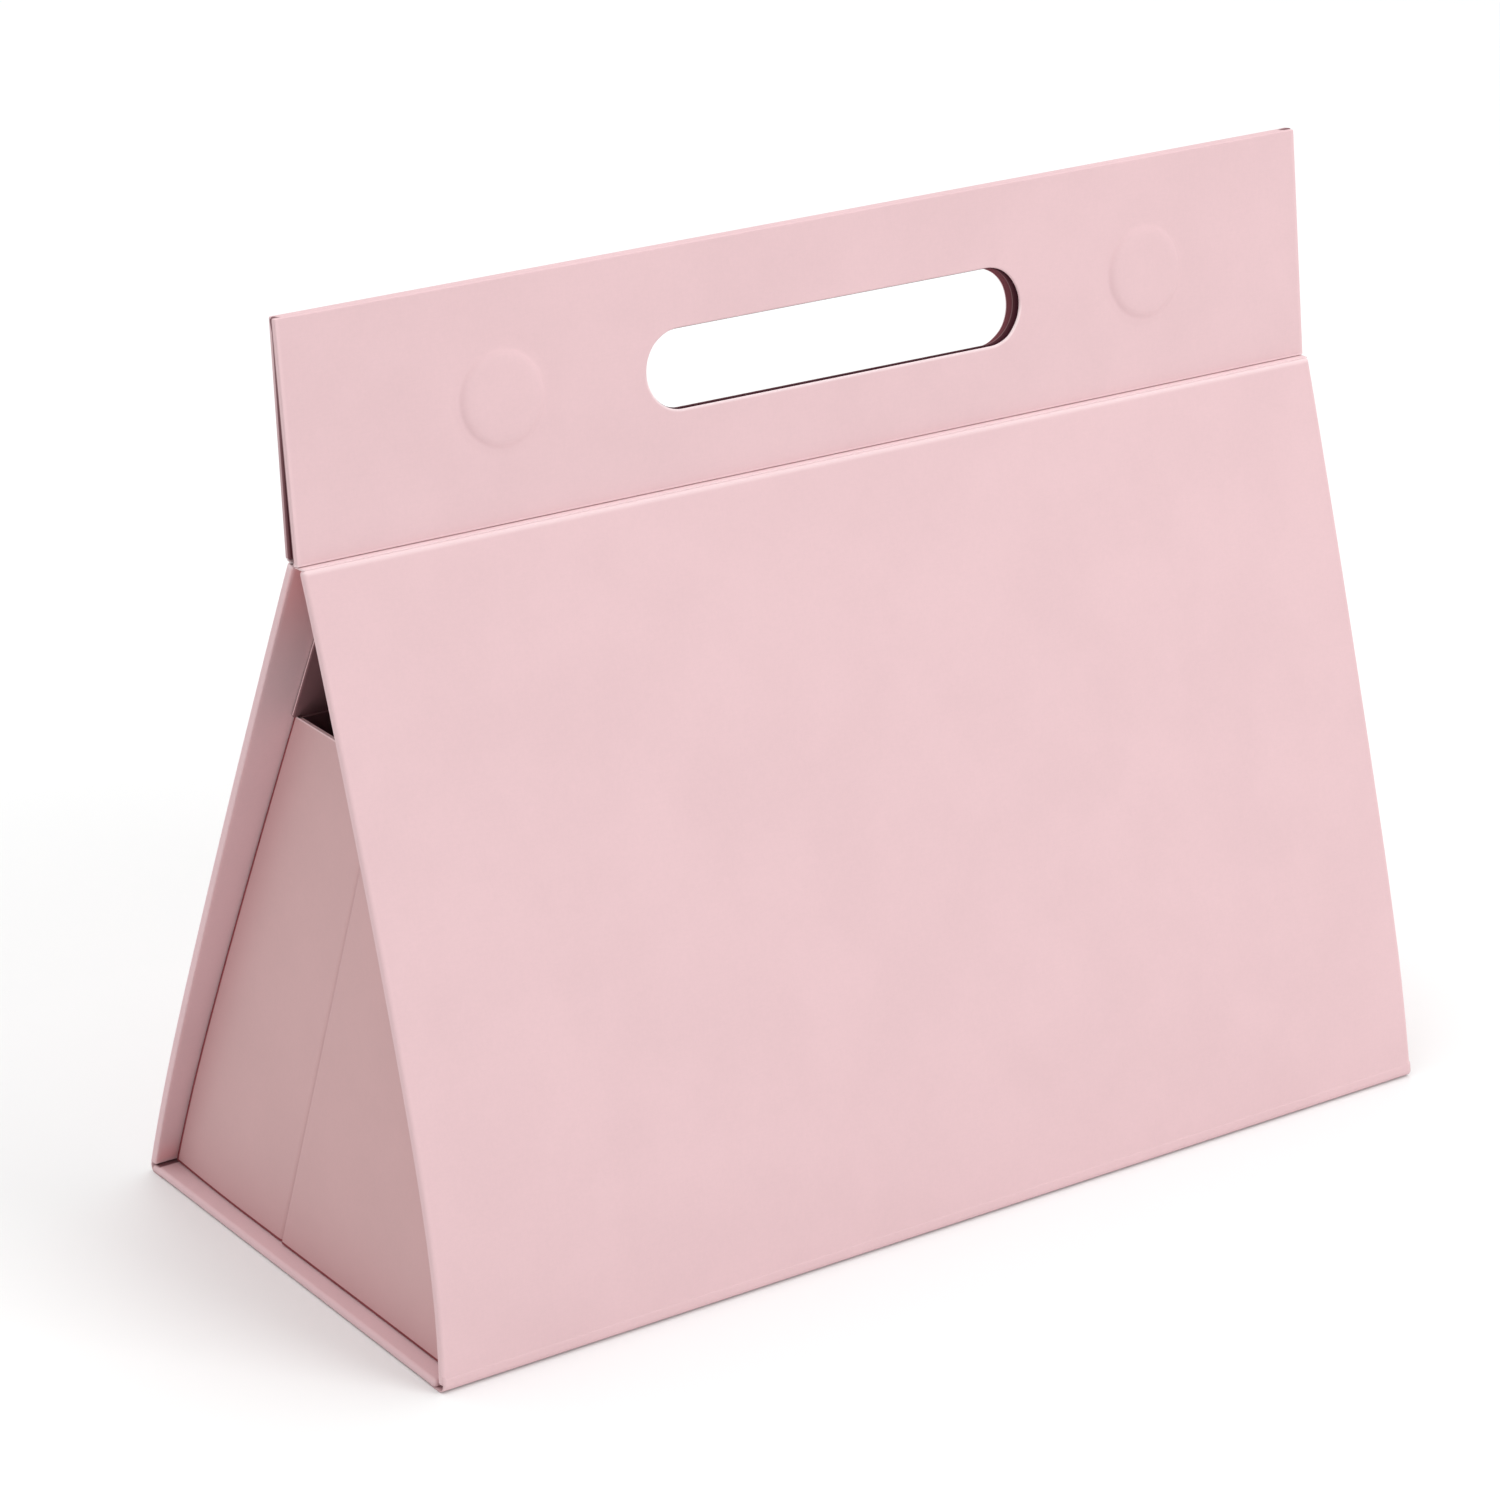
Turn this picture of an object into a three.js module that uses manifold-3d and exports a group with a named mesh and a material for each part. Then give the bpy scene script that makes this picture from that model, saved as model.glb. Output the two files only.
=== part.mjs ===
// A rigid gift box of wrapped board, standing on its base.
// Two leaning walls meet in a narrow neck, and two slotted flaps above it form the handle.
// Millimetres, +Z up, width along X, the front looks along -Y, the base rests on z = 0.

import * as THREE from 'three';
import { mergeVertices } from 'three/addons/utils/BufferGeometryUtils.js';
import Module from 'manifold-3d';

// The whole box
const BOX_W = 270; // width of walls and flaps
const BOX_D = 116; // depth over the outer faces, at the table
const NECK_H = 160; // height of the walls' outer top edges
const NECK_D = 5.6; // depth over those two edges

// Boards and sheets
const WALL_T = 2; // wrapped wall board
const BASE_T = 2; // wrapped base board
const LINER_T = 1.6; // lining board on the walls
const FLOOR_T = 1.2; // lining board on the base
const SHEET_T = 0.8; // gusset sheet
const SEAT = 0.3; // room between pieces that touch

// Fold lines
const FOOT_GAP = 1; // the walls start this far up their slope
const FOLD_GAP = 0.6; // between a wall's top edge and its flap
const LINER_FOOT = 0.8; // from the base lining up to the wall linings
const LINER_DROP = 12; // from the neck down to the wall linings' top edges

// Side openings
const INSET_FOOT = 4.2; // from the side edges in to the linings and gussets, at the base
const INSET_LEAN = 0.038; // inset gained for each millimetre of height
const GUSSET_H = 120.7; // height of the gussets' straight top edge
const GLUE_W = 15; // width of a gusset's glued strips
const CREASE_FOOT = 10.6; // the crease starts this far behind the middle
const CREASE_LEAN = 13.4; // degrees, toward the front as it climbs
const CREASE_RISE = 0.6; // the sheet stands out this much at the crease
const FREE_GAP = 0.6; // from a gusset's free front edge to the front lining

// Handle flaps
const HANDLE_H = 50.7; // from the neck to the flaps' top edges, along the flaps
const HANDLE_LEAN = 10.5; // degrees, both flaps lean back
const HANDLE_Y = 1.4; // the flaps' middle plane, at the neck, behind the box's middle
const FLAP_T = 1.6; // wrapped flap board
const LINING_T = 0.3; // lining paper
const GLUE = 0.15; // room on each side of the lining paper
const LINING_INSET = 2.5; // lining paper stops short of the flap's edges

// Hand slot
const SLOT_W = 100;
const SLOT_H = 17.2;
const SLOT_UP = 24.4; // from the neck to the slot's middle
const CUT_SHIFT = 2.5; // the slot and magnets sit this far to the right of the middle

// Magnets, round and sunk from the inner face of each flap
const MAGNET_D = 20;
const MAGNET_T = 1.1;
const MAGNET_SIDE = 49; // from the flaps' side edges in to the magnets, before that shift
const MAGNET_UP = 25.6; // from the neck to the magnets' middle
const BUMP_T = 0.5; // a magnet pushes the flap's face out this far
const BUMP_EDGE = 0.6; // width of the raised disc's sloping edge
const ROUND_SEGMENTS = 48;

const wasm = await Module();
wasm.setup();

const rad = (degrees) => (degrees * Math.PI) / 180;

// The outer face of a wall climbs from the foot of the box to the neck.
const LEAN = Math.atan2((BOX_D - NECK_D) / 2, NECK_H);
const COS = Math.cos(LEAN);
const SIN = Math.sin(LEAN);
const TAN = SIN / COS;
const WALL_LENGTH = NECK_H / COS;

// Half depth of the surface that lies a distance inside the outer face, at a height.
const halfDepth = (inside, z) => BOX_D / 2 - z * TAN - inside / COS;
const sideEdge = (z) => BOX_W / 2 - INSET_FOOT - INSET_LEAN * z;

const FLOOR_TOP = BASE_T + SEAT + FLOOR_T;
const LINER_IN = WALL_T + SEAT + LINER_T; // inner face of a wall lining, from the outer face
const GUSSET_Z = FLOOR_TOP + SEAT;

function toManifold(geometry) {
  const bare = geometry.clone();
  bare.deleteAttribute('normal');
  bare.deleteAttribute('uv');
  const merged = mergeVertices(bare, 1e-5);
  return new wasm.Manifold(new wasm.Mesh({
    numProp: 3,
    vertProperties: new Float32Array(merged.attributes.position.array),
    triVerts: new Uint32Array(merged.index.array),
  }));
}

function toGeometry(solid) {
  const mesh = solid.getMesh();
  const shared = new THREE.BufferGeometry();
  shared.setAttribute('position', new THREE.BufferAttribute(new Float32Array(mesh.vertProperties), 3));
  shared.setIndex(new THREE.BufferAttribute(new Uint32Array(mesh.triVerts), 1));
  const flat = shared.toNonIndexed();
  flat.computeVertexNormals();
  return flat;
}

// A closed body from an outline of (y, z) points, reaching from one x to another.
function prism(outline, x0, x1) {
  const shape = new THREE.Shape(outline.map(([y, z]) => new THREE.Vector2(y, z)));
  const body = new THREE.ExtrudeGeometry(shape, { depth: x1 - x0, bevelEnabled: false });
  // The outline's y and z become Y and Z, and the extrusion runs along X.
  body.applyMatrix4(new THREE.Matrix4().set(0, 0, 1, x0, 1, 0, 0, 0, 0, 1, 0, 0, 0, 0, 0, 1));
  return body;
}

function moveX(geometry, change) {
  const at = geometry.attributes.position;
  for (let i = 0; i < at.count; i += 1) {
    at.setX(i, change(at.getX(i), at.getZ(i)));
  }
  geometry.computeVertexNormals();
  return geometry;
}

// Outline of a board on a wall: side is -1 for the front and 1 for the back,
// near and far are depths inside the outer face, low and high lengths up the slope.
function wallOutline(side, near, far, low, high) {
  const point = (inside, up) => [side * (BOX_D / 2 - up * SIN - inside * COS), up * COS - inside * SIN];
  return [point(near, low), point(far, low), point(far, high), point(near, high)];
}

const paper = (color) => new THREE.MeshStandardMaterial({ color, roughness: 0.75, metalness: 0 });
const wrapPaper = paper(0xebc8cd);
const linerPaper = paper(0xe2bdc2);
const gussetPaper = paper(0xd9b0b3);
const magnetSteel = new THREE.MeshStandardMaterial({ color: 0xb4b6ba, roughness: 0.35, metalness: 1 });

const box = new THREE.Group();
box.name = 'gift_box';

function addMesh(parent, name, geometry, material) {
  const mesh = new THREE.Mesh(geometry, material);
  mesh.name = name;
  parent.add(mesh);
  return mesh;
}

// Base board: it fills the foot of the box between the two walls.
const innerFootZ = FOOT_GAP * COS - WALL_T * SIN;
const baseTopEdge = halfDepth(WALL_T + SEAT, BASE_T);
const baseFootEdge = halfDepth(WALL_T + SEAT, Math.max(innerFootZ, 0));
const baseHalf = Math.min(baseTopEdge, baseFootEdge);
const baseBoard = prism(
  [[-baseHalf, 0], [baseHalf, 0], [baseHalf, BASE_T], [-baseHalf, BASE_T]],
  -BOX_W / 2,
  BOX_W / 2,
);
addMesh(box, 'base_board', baseBoard, wrapPaper);

// Base lining: a thinner board glued on the base, between the walls and the side edges.
const floorHalf = halfDepth(WALL_T + SEAT, FLOOR_TOP);
const floorLow = BASE_T + SEAT;
const baseLining = prism(
  [[-floorHalf, floorLow], [floorHalf, floorLow], [floorHalf, FLOOR_TOP], [-floorHalf, FLOOR_TOP]],
  -sideEdge(0),
  sideEdge(0),
);
addMesh(box, 'base_lining', baseLining, linerPaper);

// Walls and their linings, which narrow toward the neck as the side openings do.
const linerLow = (FLOOR_TOP + LINER_FOOT + LINER_IN * SIN) / COS;
const linerHigh = WALL_LENGTH - LINER_DROP / COS;
for (const [label, side] of [['front', -1], ['back', 1]]) {
  const wall = prism(wallOutline(side, 0, WALL_T, FOOT_GAP, WALL_LENGTH), -BOX_W / 2, BOX_W / 2);
  addMesh(box, `${label}_wall_board`, wall, wrapPaper);
  const liner = prism(wallOutline(side, WALL_T + SEAT, LINER_IN, linerLow, linerHigh), -1, 1);
  addMesh(box, `${label}_lining`, moveX(liner, (x, z) => x * sideEdge(z)), linerPaper);
}

// Side gussets: a creased sheet between the linings, with a glued strip along the back
// lining and one on the base lining. The front edge is free, so the front wall can open.
function gussetSheet() {
  const backY = (z) => halfDepth(LINER_IN + SEAT, z);
  const frontY = (z) => -halfDepth(LINER_IN + FREE_GAP, z);
  const creaseY = (z) => CREASE_FOOT - (z - GUSSET_Z) * Math.tan(rad(CREASE_LEAN));
  // The crease meets the free edge where the two lines cross.
  const gap = creaseY(GUSSET_Z) - frontY(GUSSET_Z);
  const closing = (frontY(GUSSET_H) - frontY(GUSSET_Z)) / (GUSSET_H - GUSSET_Z) + Math.tan(rad(CREASE_LEAN));
  const meetZ = Math.min(GUSSET_Z + gap / closing, GUSSET_H - 5);
  const points = [
    [backY(GUSSET_Z), GUSSET_Z, 0],
    [creaseY(GUSSET_Z), GUSSET_Z, CREASE_RISE],
    [frontY(GUSSET_Z), GUSSET_Z, CREASE_RISE / 2],
    [frontY(meetZ), meetZ, CREASE_RISE / 2],
    [frontY(GUSSET_H), GUSSET_H, 0],
    [backY(GUSSET_H), GUSSET_H, 0],
  ];
  const outer = sideEdge(0) - SEAT - CREASE_RISE;
  const corners = [];
  for (const [y, z, out] of points) {
    corners.push(outer + out, y, z);
  }
  for (const [y, z, out] of points) {
    corners.push(outer + out - SHEET_T, y, z);
  }
  const faces = [[0, 5, 3], [5, 4, 3], [0, 3, 1], [1, 3, 2]];
  const index = [];
  for (const [a, b, c] of faces) {
    index.push(a, b, c, a + 6, c + 6, b + 6);
  }
  for (let i = 0; i < 6; i += 1) {
    const next = (i + 1) % 6;
    index.push(i, next, next + 6, i, next + 6, i + 6);
  }
  const sheet = new THREE.BufferGeometry();
  sheet.setAttribute('position', new THREE.BufferAttribute(new Float32Array(corners), 3));
  sheet.setIndex(index);
  return sheet;
}

function gusset(sign) {
  const outer = sideEdge(0) - SEAT - CREASE_RISE;
  const inner = outer - GLUE_W;
  const near = LINER_IN + SEAT;
  const backStrip = prism([
    [halfDepth(near, GUSSET_Z), GUSSET_Z],
    [halfDepth(near, GUSSET_H), GUSSET_H],
    [halfDepth(near + SHEET_T, GUSSET_H), GUSSET_H],
    [halfDepth(near + SHEET_T, GUSSET_Z), GUSSET_Z],
  ], inner, outer);
  const stripBack = halfDepth(near, GUSSET_Z + SHEET_T);
  const stripFront = -halfDepth(LINER_IN + 2 * FREE_GAP, GUSSET_Z);
  const baseStrip = prism([
    [stripFront, GUSSET_Z],
    [stripBack, GUSSET_Z],
    [stripBack, GUSSET_Z + SHEET_T],
    [stripFront, GUSSET_Z + SHEET_T],
  ], inner, outer);
  const joined = toManifold(gussetSheet()).add(toManifold(backStrip)).add(toManifold(baseStrip));
  const leaning = moveX(toGeometry(joined), (x, z) => x - INSET_LEAN * z);
  if (sign > 0) {
    return leaning;
  }
  // The left gusset is the right one turned over.
  const flipped = leaning.clone().scale(-1, 1, 1);
  const at = flipped.attributes.position;
  for (let i = 0; i < at.count; i += 3) {
    const first = [at.getX(i), at.getY(i), at.getZ(i)];
    at.setXYZ(i, at.getX(i + 1), at.getY(i + 1), at.getZ(i + 1));
    at.setXYZ(i + 1, ...first);
  }
  flipped.computeVertexNormals();
  return flipped;
}
addMesh(box, 'left_gusset', gusset(-1), gussetPaper);
addMesh(box, 'right_gusset', gusset(1), gussetPaper);

// The handle leans back as a whole. In its frame X runs along the neck, Y is the
// thickness and Z runs up the flaps, from the neck's height.
const handle = new THREE.Group();
handle.name = 'handle';
handle.position.set(0, HANDLE_Y, NECK_H);
handle.rotation.x = -rad(HANDLE_LEAN);
box.add(handle);

// Height of a point of the box above the neck line, in the handle's frame.
function handleUp(y, z) {
  return (y - HANDLE_Y) * Math.sin(rad(HANDLE_LEAN)) + (z - NECK_H) * Math.cos(rad(HANDLE_LEAN));
}

const liningNear = GLUE;
const liningFar = GLUE + LINING_T;
const boardNear = liningFar + GLUE;
const boardFar = boardNear + FLAP_T;

// Lowest height at which a flap clears its own wall's top face.
function flapFoot(side) {
  const outer = handleUp(side * (NECK_D / 2), NECK_H);
  const inner = handleUp(side * (NECK_D / 2 - WALL_T * COS), NECK_H - WALL_T * SIN);
  return (side > 0 ? Math.max(outer, inner) : inner) + FOLD_GAP;
}

function stadium(width, height, depth, y, up) {
  const shape = new THREE.Shape();
  const half = (width - height) / 2;
  shape.absarc(half, 0, height / 2, -Math.PI / 2, Math.PI / 2, false);
  shape.absarc(-half, 0, height / 2, Math.PI / 2, (3 * Math.PI) / 2, false);
  const body = new THREE.ExtrudeGeometry(shape, { depth, bevelEnabled: false, curveSegments: 16 });
  body.rotateX(Math.PI / 2);
  body.translate(CUT_SHIFT, y + depth, up);
  return toManifold(body);
}

function slab(x0, x1, y0, y1, z0, z1) {
  const body = new THREE.BoxGeometry(x1 - x0, y1 - y0, z1 - z0);
  body.translate((x0 + x1) / 2, (y0 + y1) / 2, (z0 + z1) / 2);
  return toManifold(body);
}

// A round disc that lies across the flap, from depth y0 to y1, with its own end radii.
function disc(x, y0, y1, r0, r1) {
  const body = new THREE.CylinderGeometry(r1, r0, Math.abs(y1 - y0), ROUND_SEGMENTS);
  if (y1 < y0) {
    body.rotateX(Math.PI);
  }
  body.translate(x, (y0 + y1) / 2, 0);
  body.translate(0, 0, MAGNET_UP);
  return body;
}

const pocketDepth = MAGNET_T + 2 * GLUE;
const magnetX = BOX_W / 2 - MAGNET_SIDE;
for (const [label, side] of [['front', -1], ['back', 1]]) {
  const foot = flapFoot(side);
  const near = side * boardNear;
  const far = side * boardFar;
  const slotBody = stadium(SLOT_W, SLOT_H, 4 * boardFar, -2 * boardFar, SLOT_UP);
  let board = slab(
    -BOX_W / 2,
    BOX_W / 2,
    Math.min(near, far),
    Math.max(near, far),
    foot,
    HANDLE_H,
  );
  for (const x of [CUT_SHIFT - magnetX, CUT_SHIFT + magnetX]) {
    const bumpTop = side * (boardFar + BUMP_T);
    const bump = disc(x, near, bumpTop, MAGNET_D / 2 + BUMP_EDGE + 1, MAGNET_D / 2 + BUMP_EDGE);
    const pocket = disc(x, 0, side * (boardNear + pocketDepth), MAGNET_D / 2 + GLUE, MAGNET_D / 2 + GLUE);
    board = board.add(toManifold(bump)).subtract(toManifold(pocket));
  }
  board = board.subtract(slotBody);
  addMesh(handle, `${label}_handle_board`, toGeometry(board), wrapPaper);

  const edge = BOX_W / 2 - LINING_INSET;
  const thinNear = side * liningNear;
  const thinFar = side * liningFar;
  let lining = slab(
    -edge,
    edge,
    Math.min(thinNear, thinFar),
    Math.max(thinNear, thinFar),
    foot + LINING_INSET,
    HANDLE_H - LINING_INSET,
  );
  lining = lining.subtract(slotBody);
  addMesh(handle, `${label}_flap_lining`, toGeometry(lining), linerPaper);

  const magnetNear = side * (boardNear + GLUE);
  const magnetFar = side * (boardNear + GLUE + MAGNET_T);
  for (const [hand, x] of [['left', CUT_SHIFT - magnetX], ['right', CUT_SHIFT + magnetX]]) {
    const magnet = disc(x, magnetNear, magnetFar, MAGNET_D / 2, MAGNET_D / 2);
    addMesh(handle, `${label}_magnet_${hand}`, magnet, magnetSteel);
  }
}

export default box;
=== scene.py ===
import math

import bmesh
import bpy
from mathutils import Matrix, Vector, noise


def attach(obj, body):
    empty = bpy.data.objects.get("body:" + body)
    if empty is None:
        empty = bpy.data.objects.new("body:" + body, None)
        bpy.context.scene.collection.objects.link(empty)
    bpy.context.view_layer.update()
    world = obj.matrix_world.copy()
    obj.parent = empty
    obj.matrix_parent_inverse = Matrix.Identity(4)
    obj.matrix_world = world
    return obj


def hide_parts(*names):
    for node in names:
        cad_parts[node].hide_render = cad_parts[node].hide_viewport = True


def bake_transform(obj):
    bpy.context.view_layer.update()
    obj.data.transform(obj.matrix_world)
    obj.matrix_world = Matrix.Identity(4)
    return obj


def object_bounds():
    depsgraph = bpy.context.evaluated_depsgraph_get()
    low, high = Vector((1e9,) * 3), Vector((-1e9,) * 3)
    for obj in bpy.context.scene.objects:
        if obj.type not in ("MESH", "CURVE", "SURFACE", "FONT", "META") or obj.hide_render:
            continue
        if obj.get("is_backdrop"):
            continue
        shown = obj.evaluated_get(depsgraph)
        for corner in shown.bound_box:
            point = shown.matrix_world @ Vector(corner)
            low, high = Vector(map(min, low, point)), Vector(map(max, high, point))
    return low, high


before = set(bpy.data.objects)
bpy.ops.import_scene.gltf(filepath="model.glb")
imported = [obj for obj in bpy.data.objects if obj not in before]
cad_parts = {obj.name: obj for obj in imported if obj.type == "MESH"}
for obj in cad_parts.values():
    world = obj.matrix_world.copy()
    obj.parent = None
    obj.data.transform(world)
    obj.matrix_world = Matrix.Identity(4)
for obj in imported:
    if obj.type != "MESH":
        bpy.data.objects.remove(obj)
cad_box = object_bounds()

# Base board: a stiff greyboard panel wrapped in pale pink uncoated paper, which stands on
# the table. The paper is turned in round its edges, so they come out softly rounded.
MM = 0.001
BOX_W = 270
BOX_D = 116
NECK_H = 160
NECK_D = 5.6
WALL_T = 2
BASE_T = 2
SEAT = 0.3
HANDLE_LEAN = math.radians(10.5)
HANDLE_Y = 1.4
SLOT_W = 100
SLOT_H = 17.2
SLOT_UP = 24.4
CUT_SHIFT = 2.5

LEAN = math.atan2((BOX_D - NECK_D) / 2, NECK_H)
WALL_LENGTH = NECK_H / math.cos(LEAN)


class Shade:
    """A socket of a material's nodes, so that shader maths reads as plain sums."""

    def __init__(self, tree, socket):
        self.tree = tree
        self.socket = socket

    def node(self, kind, settings=None, inputs=None, output=0):
        """Adds a node from its type, its settings, and its sockets' values or links."""
        made = self.tree.nodes.new(kind)
        for key, value in (settings or {}).items():
            setattr(made, key, value)
        for key, value in (inputs or {}).items():
            if isinstance(value, Shade):
                self.tree.links.new(value.socket, made.inputs[key])
            else:
                made.inputs[key].default_value = value
        return Shade(self.tree, made.outputs[output])

    def maths(self, operation, first, second=0.0):
        return self.node("ShaderNodeMath", {"operation": operation}, {0: first, 1: second})

    def __add__(self, other):
        return self.maths("ADD", self, other)

    def __radd__(self, other):
        return self.maths("ADD", other, self)

    def __sub__(self, other):
        return self.maths("SUBTRACT", self, other)

    def __rsub__(self, other):
        return self.maths("SUBTRACT", other, self)

    def __mul__(self, other):
        return self.maths("MULTIPLY", self, other)

    def __rmul__(self, other):
        return self.maths("MULTIPLY", other, self)

    def __pow__(self, other):
        return self.maths("POWER", self, other)

    def part(self, axis):
        """One of the three numbers of a place: 0 for x, 1 for y, 2 for z."""
        return self.node("ShaderNodeSeparateXYZ", {}, {"Vector": self}, output=axis)

    def size(self):
        return self.maths("ABSOLUTE", self)

    def most(self, other):
        return self.maths("MAXIMUM", self, other)

    def between(self, low, high):
        """0 below low, 1 above high, smooth between them."""
        return self.node(
            "ShaderNodeMapRange",
            {"interpolation_type": "SMOOTHSTEP"},
            {"Value": self, "From Min": low, "From Max": high},
        )

    def rises(self, low, high):
        """The same along a place, with both ends given in millimetres."""
        return self.between(low * MM, high * MM)


def new_material(name):
    """A material with one plain shader, and a Shade to start its nodes from."""
    material = bpy.data.materials.new(name)
    material.use_nodes = True
    tree = material.node_tree
    tree.nodes.clear()
    shader = tree.nodes.new("ShaderNodeBsdfPrincipled")
    output = tree.nodes.new("ShaderNodeOutputMaterial")
    tree.links.new(shader.outputs["BSDF"], output.inputs["Surface"])
    coordinates = tree.nodes.new("ShaderNodeTexCoord")
    return material, shader, Shade(tree, coordinates.outputs["Object"])


def blend_colours(share, plain, other):
    """One colour where share is 0 and another where it is 1."""
    return share.node(
        "ShaderNodeMix",
        {"data_type": "RGBA"},
        {"Factor": share, "A": plain, "B": other},
        output=2,
    )


def paper(name, colour, light, dark, roughness=0.72, grain=0.00003, gloss=0.35, touches=None):
    """Uncoated art paper: felted fibres, a faint cloudiness and slight rubbing.

    Touches gives shares of other tones to lay over the paper, from the place on it."""
    material, shader, place = new_material(name)
    cloud = place.node(
        "ShaderNodeTexNoise", {}, {"Vector": place, "Scale": 45, "Detail": 3, "Roughness": 0.55}
    )
    felt = place.node(
        "ShaderNodeTexNoise", {}, {"Vector": place, "Scale": 1400, "Detail": 4, "Roughness": 0.7}
    )
    stretched = place.node(
        "ShaderNodeMapping", {}, {"Vector": place, "Scale": (500.0, 2600.0, 2600.0)}
    )
    fibres = place.node(
        "ShaderNodeTexNoise", {}, {"Vector": stretched, "Scale": 1.0, "Detail": 3, "Roughness": 0.6}
    )
    upright = place.node(
        "ShaderNodeMapping", {}, {"Vector": place, "Scale": (2300.0, 900.0, 480.0)}
    )
    threads = place.node(
        "ShaderNodeTexNoise", {}, {"Vector": upright, "Scale": 1.0, "Detail": 3, "Roughness": 0.6}
    )
    rubbed = place.node(
        "ShaderNodeTexNoise", {}, {"Vector": place, "Scale": 160, "Detail": 5, "Roughness": 0.65}
    )
    felted = felt * 0.4 + fibres * 0.35 + threads * 0.25
    tone = cloud.between(0.3, 0.7) * 0.5 + felted.between(0.35, 0.65) * 0.5
    tinted = blend_colours(tone, dark, light)
    worn = rubbed.between(0.62, 0.8) * 0.12
    coloured = blend_colours(worn, tinted, colour)
    for share, touch in touches(place) if touches else []:
        coloured = blend_colours(share, coloured, touch)
    bump = place.node(
        "ShaderNodeBump", {}, {"Strength": 0.35, "Distance": grain, "Height": felted}
    )
    tree = place.tree
    tree.links.new(coloured.socket, shader.inputs["Base Color"])
    rough = felted.between(0.3, 0.7) * 0.12 + (roughness - 0.06)
    tree.links.new(rough.socket, shader.inputs["Roughness"])
    tree.links.new(bump.socket, shader.inputs["Normal"])
    shader.inputs["Specular IOR Level"].default_value = gloss
    shader.inputs["Sheen Weight"].default_value = 0.17 * gloss
    shader.inputs["Sheen Roughness"].default_value = 0.5
    return material


def shades(red, green, blue, spread=0.03):
    """A colour with a slightly lighter and a slightly darker one beside it."""
    middle = (red, green, blue, 1.0)
    light = tuple(min(1.0, c * (1 + spread)) for c in middle[:3]) + (1.0,)
    dark = tuple(c * (1 - spread) for c in middle[:3]) + (1.0,)
    return middle, light, dark


def wrap_light_and_shade(place):
    """Painted light on the wrap: highlights on its turns and lip, shade in its gaps, margins and
    under it.
    """
    side_end = BOX_W / 2
    back_foot = BOX_D / 2
    y = place.part(1)
    height = place.part(2)
    across = place.part(0).size()
    # Painted highlights: the side turns and the neck's ledge are painted paler, where light from
    # above catches them.
    side = across.rises(side_end - 1.2, side_end - 0.3)
    ledge_highlight = height.rises(NECK_H - 1.4, NECK_H - 0.4)
    ledge_highlight = ledge_highlight * (1 - height.rises(NECK_H + 0.1, NECK_H + 0.6))
    above = height.rises(NECK_H + 0.3, NECK_H + 0.8)

    # Painted highlight along the slot's lower lip, where light from above falls.
    up = (y - HANDLE_Y * MM) * math.sin(HANDLE_LEAN)
    up = up + (height - NECK_H * MM) * math.cos(HANDLE_LEAN) - SLOT_UP * MM
    behind = (y - HANDLE_Y * MM) * math.cos(HANDLE_LEAN)
    behind = behind - (height - NECK_H * MM) * math.sin(HANDLE_LEAN)
    ahead = (place.part(0) - CUT_SHIFT * MM).size() - (SLOT_W - SLOT_H) / 2 * MM
    round_end = ahead.most(0.0)
    away = (round_end * round_end + up * up) ** 0.5 - SLOT_H / 2 * MM
    lip_highlight = (1 - away.rises(0.1, 0.8)) * (MM - up).rises(0, 4) * above

    # Painted shade: the walls' inner faces are painted a deeper, redder pink, like light bounced
    # inside the box.
    inside = (BOX_D / 2 * MM - height * math.tan(LEAN) - y.size()).rises(1.2, 2.0)
    margin_shade = inside * height.rises(BASE_T + 0.2, BASE_T + 2)
    margin_shade = margin_shade * (1 - height.rises(NECK_H - 0.7, NECK_H + 0.1))
    # Painted shade in the gap between the flaps at their side ends.
    flap_gap_shade = (1 - behind.size().rises(1.0, 1.3)) * above
    flap_gap_shade = flap_gap_shade * across.rises(side_end - 2.5, side_end - 1.5)
    # Painted shade on the back flap's side rim.
    rear_rim_shade = side * above * behind.rises(0.2, 0.6)
    # Painted shade in the groove between the base and the back wall's foot.
    seam = height.rises(BASE_T - 0.2, BASE_T) * (1 - height.rises(BASE_T + 0.3, BASE_T + 0.6))
    seam = seam * y.rises(back_foot - 4, back_foot - 3.4)
    seam = seam * (1 - y.rises(back_foot - 1.6, back_foot - 1.2))
    # Painted shade: a dark band along the lowest edges, standing in for the contact shadow under
    # the base.
    under = 1 - height.rises(0.2, 0.7)
    return [
        (under * 0.7, (0.34, 0.17, 0.18, 1.0)),
        (margin_shade * 0.9, (0.74, 0.358, 0.366, 1.0)),
        (side.most(ledge_highlight) * 0.5, (0.82, 0.58, 0.60, 1.0)),
        (ledge_highlight * 0.6, (0.90, 0.72, 0.735, 1.0)),
        (lip_highlight * 0.7, (0.95, 0.80, 0.81, 1.0)),
        (rear_rim_shade * 0.7, (0.42, 0.24, 0.26, 1.0)),
        (flap_gap_shade.most(seam) * 0.9, (0.15, 0.04, 0.05, 1.0)),
    ]


# The wrap paper carries painted highlights and painted shade over its own pink.
wrap_paper = paper("pale_pink_wrap", *shades(0.735, 0.508, 0.529), touches=wrap_light_and_shade)


def spread_points(low, high, step, rim=1.0):
    """Points from low to high about a step apart, with one close to each end."""
    count = max(2, round((high - low - 2 * rim) / step))
    inner = [low + rim + (high - low - 2 * rim) * i / count for i in range(count + 1)]
    return [low] + inner + [high]


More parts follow.
